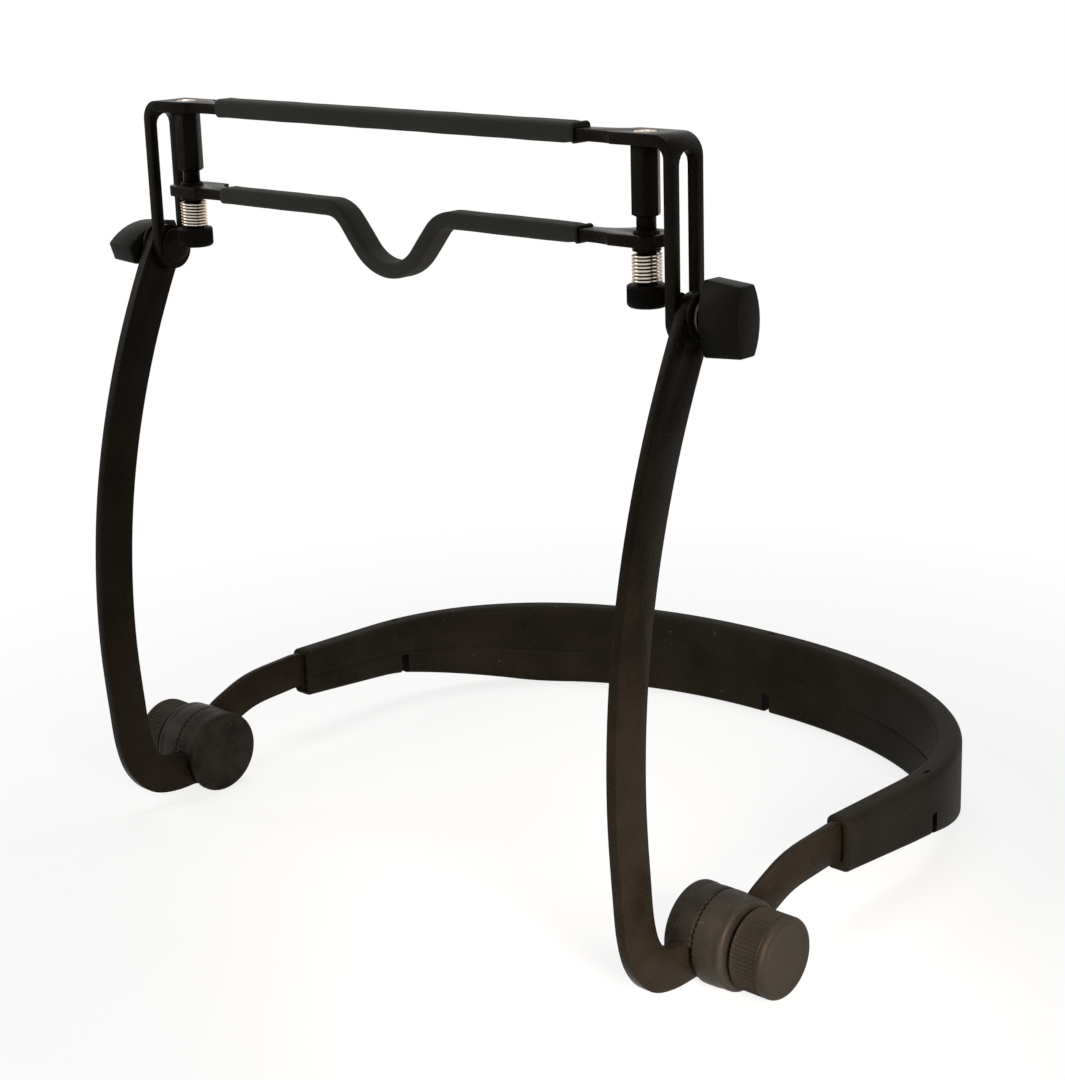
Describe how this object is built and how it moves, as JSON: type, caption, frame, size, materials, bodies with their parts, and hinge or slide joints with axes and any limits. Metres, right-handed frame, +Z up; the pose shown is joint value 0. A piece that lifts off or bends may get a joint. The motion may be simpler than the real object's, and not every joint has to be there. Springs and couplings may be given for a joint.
{
  "type": "harmonica holder",
  "caption": "Neck-worn harmonica holder: padded neck band, two curved arms on toothed hubs, and a tilting slotted frame with a sprung lower jaw.",
  "frame": {"origin": "under the middle of the whole part, on the plane that the hubs and the pad's rear foot stand on", "axes": "+X to the right of a viewer in front, +Y towards the back of the player's neck, +Z up"},
  "size_m": [0.2398, 0.1956, 0.2104],
  "materials": {
    "black_steel": "satin black powder coat with a fine grain",
    "black_plastic": "matt moulded black plastic",
    "bright_steel": "bright plated steel",
    "sleeve_rubber": "matt charcoal rubber",
    "pad_rubber": "satin black moulded rubber"
  },
  "bodies": {
    "neck_brace": {"neck_band": "black_steel", "neck_pad": "pad_rubber", "left_hub_neck_half": "black_plastic", "right_hub_neck_half": "black_plastic"},
    "holder_frame": {"upper_frame": "black_steel", "upper_sleeve": "sleeve_rubber", "left_post_screw": "bright_steel", "right_post_screw": "bright_steel", "left_guide_post": "black_steel", "right_guide_post": "black_steel"},
    "spring_jaw": {"lower_jaw": "black_steel", "lower_sleeve": "sleeve_rubber", "left_jaw_bush": "black_steel", "right_jaw_bush": "black_steel", "left_jaw_spring": "bright_steel", "right_jaw_spring": "bright_steel"},
    "left_arm_group": {"left_arm": "black_steel", "left_hub_arm_half": "black_plastic", "left_hub_bolt": "bright_steel", "left_clamp_bolt": "black_steel", "left_flat_washer": "black_steel", "left_lock_washer": "bright_steel"},
    "left_tilt_knob": {"left_tilt_knob": "black_plastic"},
    "left_hub_knob": {"left_hub_knob": "black_plastic"},
    "left_spring_nut": {"left_spring_nut": "black_plastic"},
    "right_arm_group": {"right_arm": "black_steel", "right_hub_arm_half": "black_plastic", "right_hub_bolt": "bright_steel"},
    "right_clamp": {"right_clamp_bolt": "black_steel", "right_flat_washer": "black_steel", "right_lock_washer": "bright_steel"},
    "right_tilt_knob": {"right_tilt_knob": "black_plastic"},
    "right_hub_knob": {"right_hub_knob": "black_plastic"},
    "right_spring_nut": {"right_spring_nut": "black_plastic"}
  },
  "joints": [
    {"name": "right_arm_swing", "type": "hinge", "parent": "neck_brace", "child": "right_arm_group", "pos_m": [0.09965, -0.06127, 0.0121], "axis": [1, 0, 0], "range_deg": [-60, 90]},
    {"name": "left_arm_swing", "type": "hinge", "parent": "neck_brace", "child": "left_arm_group", "pos_m": [-0.09965, -0.06127, 0.0121], "axis": [1, 0, 0], "range_deg": [-60, 90]},
    {"name": "frame_tilt", "type": "hinge", "parent": "right_arm_group", "child": "right_clamp", "pos_m": [0.09685, -0.06497, 0.168], "axis": [1, 0, 0], "continuous": true},
    {"name": "frame_height", "type": "slide", "parent": "right_clamp", "child": "holder_frame", "axis": [0, 0, 1], "range_m": [-0.031, 0]},
    {"name": "jaw_open", "type": "slide", "parent": "holder_frame", "child": "spring_jaw", "axis": [0, 0, -1], "range_m": [-0.0026, 0.0024], "stiffness_N_per_m": 600, "springref_m": -0.0026, "deforming": ["left_jaw_spring", "right_jaw_spring"]},
    {"name": "right_tilt_knob_turn", "type": "hinge", "parent": "right_clamp", "child": "right_tilt_knob", "pos_m": [0.106, -0.06497, 0.168], "axis": [1, 0, 0], "continuous": true},
    {"name": "left_tilt_knob_turn", "type": "hinge", "parent": "left_arm_group", "child": "left_tilt_knob", "pos_m": [-0.106, -0.06497, 0.168], "axis": [-1, 0, 0], "continuous": true},
    {"name": "right_hub_knob_turn", "type": "hinge", "parent": "right_arm_group", "child": "right_hub_knob", "pos_m": [0.114, -0.06127, 0.0121], "axis": [1, 0, 0], "continuous": true},
    {"name": "left_hub_knob_turn", "type": "hinge", "parent": "left_arm_group", "child": "left_hub_knob", "pos_m": [-0.114, -0.06127, 0.0121], "axis": [-1, 0, 0], "continuous": true},
    {"name": "right_spring_nut_turn", "type": "hinge", "parent": "holder_frame", "child": "right_spring_nut", "pos_m": [0.08256, -0.06497, 0.171], "axis": [0, 0, 1], "continuous": true},
    {"name": "left_spring_nut_turn", "type": "hinge", "parent": "holder_frame", "child": "left_spring_nut", "pos_m": [-0.08256, -0.06497, 0.171], "axis": [0, 0, 1], "continuous": true}
  ],
  "couplings": [
    {"joint": "left_arm_swing", "follows": "right_arm_swing", "ratio": 1}
  ]
}
